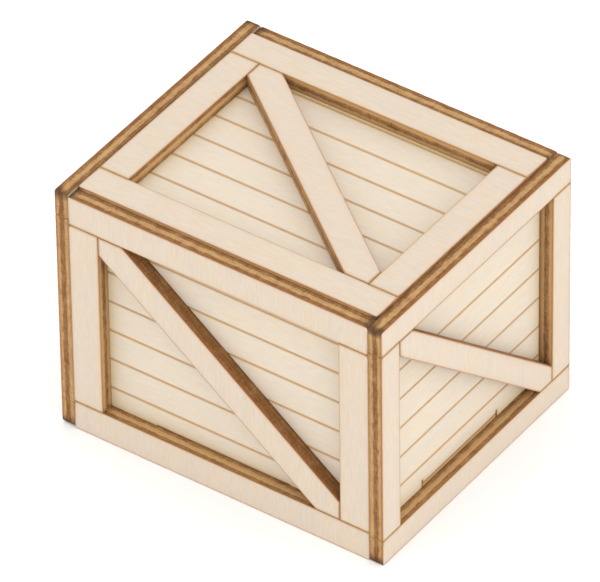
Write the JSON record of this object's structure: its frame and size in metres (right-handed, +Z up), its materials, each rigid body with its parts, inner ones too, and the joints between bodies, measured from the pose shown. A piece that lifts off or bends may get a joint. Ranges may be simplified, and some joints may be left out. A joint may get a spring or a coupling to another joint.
{
  "type": "miniature plywood shipping crate",
  "caption": "Small laser-cut plywood shipping crate with scored plank sides, a diagonal brace on every side and a lift-off lid.",
  "frame": {"origin": "middle of the underside, on the surface the crate stands on", "axes": "+X to the right along the long front, +Y from the front to the back, +Z up"},
  "size_m": [0.074, 0.0624, 0.0569],
  "materials": {
    "panel_plywood": "bare sanded veneer with charred cut edges",
    "frame_plywood": "bare sanded veneer with charred cut edges"
  },
  "bodies": {
    "crate": {"front_panel": "panel_plywood", "back_panel": "panel_plywood", "left_panel": "panel_plywood", "right_panel": "panel_plywood", "floor_panel": "panel_plywood", "front_top_rail": "frame_plywood", "front_bottom_rail": "frame_plywood", "front_left_stile": "frame_plywood", "front_right_stile": "frame_plywood", "front_brace": "frame_plywood", "back_top_rail": "frame_plywood", "back_bottom_rail": "frame_plywood", "back_left_stile": "frame_plywood", "back_right_stile": "frame_plywood", "back_brace": "frame_plywood", "left_top_rail": "frame_plywood", "left_bottom_rail": "frame_plywood", "left_front_stile": "frame_plywood", "left_back_stile": "frame_plywood", "left_brace": "frame_plywood", "right_top_rail": "frame_plywood", "right_bottom_rail": "frame_plywood", "right_front_stile": "frame_plywood", "right_back_stile": "frame_plywood", "right_brace": "frame_plywood", "bottom_front_rail": "frame_plywood", "bottom_back_rail": "frame_plywood", "bottom_left_stile": "frame_plywood", "bottom_right_stile": "frame_plywood", "bottom_brace": "frame_plywood"},
    "lid": {"lid_panel": "panel_plywood", "lid_front_rail": "frame_plywood", "lid_back_rail": "frame_plywood", "lid_left_stile": "frame_plywood", "lid_right_stile": "frame_plywood", "lid_brace": "frame_plywood"}
  },
  "joints": [
    {"name": "lid_lift", "type": "slide", "parent": "crate", "child": "lid", "axis": [0, 0, 1], "range_m": [0, 0.06]}
  ]
}
